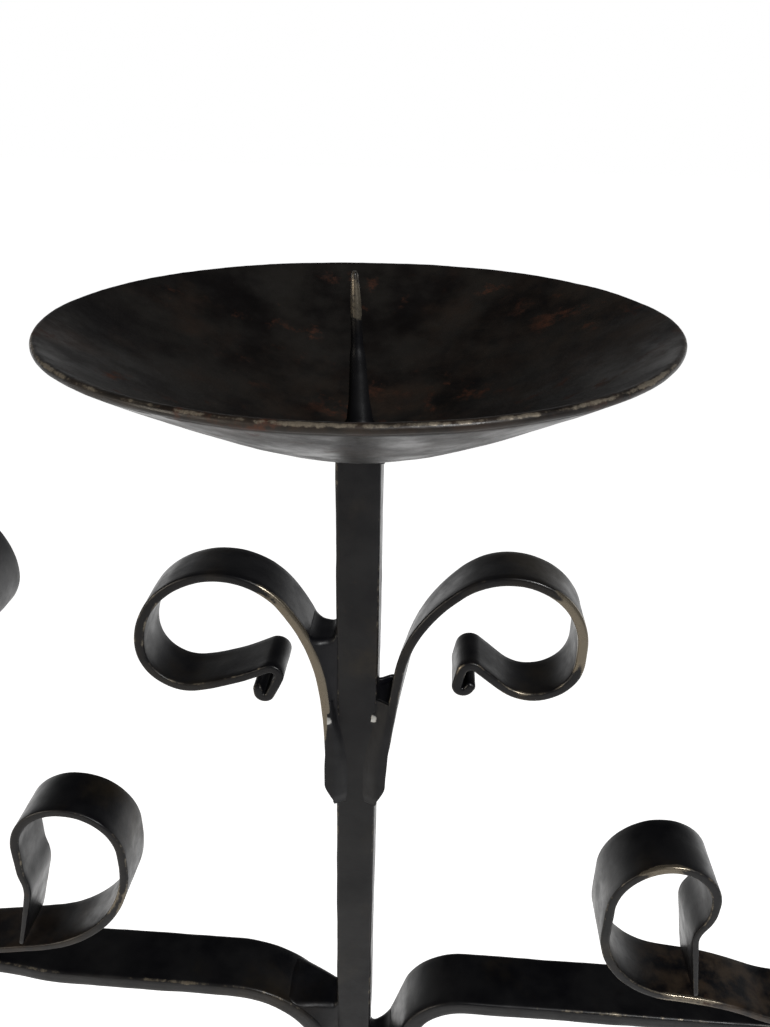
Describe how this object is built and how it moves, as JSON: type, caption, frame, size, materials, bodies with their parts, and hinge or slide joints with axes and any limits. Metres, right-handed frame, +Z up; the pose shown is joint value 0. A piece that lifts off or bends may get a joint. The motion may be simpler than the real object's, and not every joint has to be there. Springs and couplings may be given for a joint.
{
  "type": "tabletop candelabra",
  "caption": "Forged black iron candelabra: pricket lights with dished drip pans and scrolls on a flat-strip cross arm, standing on crossed bow feet.",
  "frame": {"origin": "on the surface it stands on, under the centre stem", "axes": "+Z up, arms along X, front towards -Y"},
  "size_m": [0.4, 0.1966, 0.41],
  "materials": {
    "black_iron": "satin black wax over forged iron, worn brighter at the edges, with a little rust",
    "dish_iron": "satin black with brown rust and burnt wax, bright worn rim",
    "weld_bead": "satin black over lumpy weld metal"
  },
  "bodies": {
    "root": {"bow_weld_left": "weld_bead", "bow_weld_right": "weld_bead", "centre_pan": "dish_iron", "centre_pan_weld": "weld_bead", "centre_scroll_left": "black_iron", "centre_scroll_left_bead_back": "weld_bead", "centre_scroll_left_bead_front": "weld_bead", "centre_scroll_left_weld": "weld_bead", "centre_scroll_right": "black_iron", "centre_scroll_right_bead_back": "weld_bead", "centre_scroll_right_bead_front": "weld_bead", "centre_scroll_right_weld": "weld_bead", "centre_spike": "black_iron", "centre_stem": "black_iron", "centre_stem_foot_weld": "weld_bead", "left_arm": "black_iron", "left_arm_scroll": "black_iron", "left_arm_scroll_weld": "weld_bead", "left_arm_weld": "weld_bead", "left_arm_weld_back": "weld_bead", "left_arm_weld_front": "weld_bead", "left_pan": "dish_iron", "left_pan_weld": "weld_bead", "left_scroll_left": "black_iron", "left_scroll_left_bead_back": "weld_bead", "left_scroll_left_bead_front": "weld_bead", "left_scroll_left_weld": "weld_bead", "left_scroll_right": "black_iron", "left_scroll_right_bead_back": "weld_bead", "left_scroll_right_bead_front": "weld_bead", "left_scroll_right_weld": "weld_bead", "left_spike": "black_iron", "left_stem": "black_iron", "left_stem_foot_weld": "weld_bead", "lower_bow": "black_iron", "right_arm": "black_iron", "right_arm_scroll": "black_iron", "right_arm_scroll_weld": "weld_bead", "right_arm_weld": "weld_bead", "right_arm_weld_back": "weld_bead", "right_arm_weld_front": "weld_bead", "right_pan": "dish_iron", "right_pan_weld": "weld_bead", "right_scroll_left": "black_iron", "right_scroll_left_bead_back": "weld_bead", "right_scroll_left_bead_front": "weld_bead", "right_scroll_left_weld": "weld_bead", "right_scroll_right": "black_iron", "right_scroll_right_bead_back": "weld_bead", "right_scroll_right_bead_front": "weld_bead", "right_scroll_right_weld": "weld_bead", "right_spike": "black_iron", "right_stem": "black_iron", "right_stem_foot_weld": "weld_bead", "upper_bow": "black_iron"}
  },
  "joints": []
}
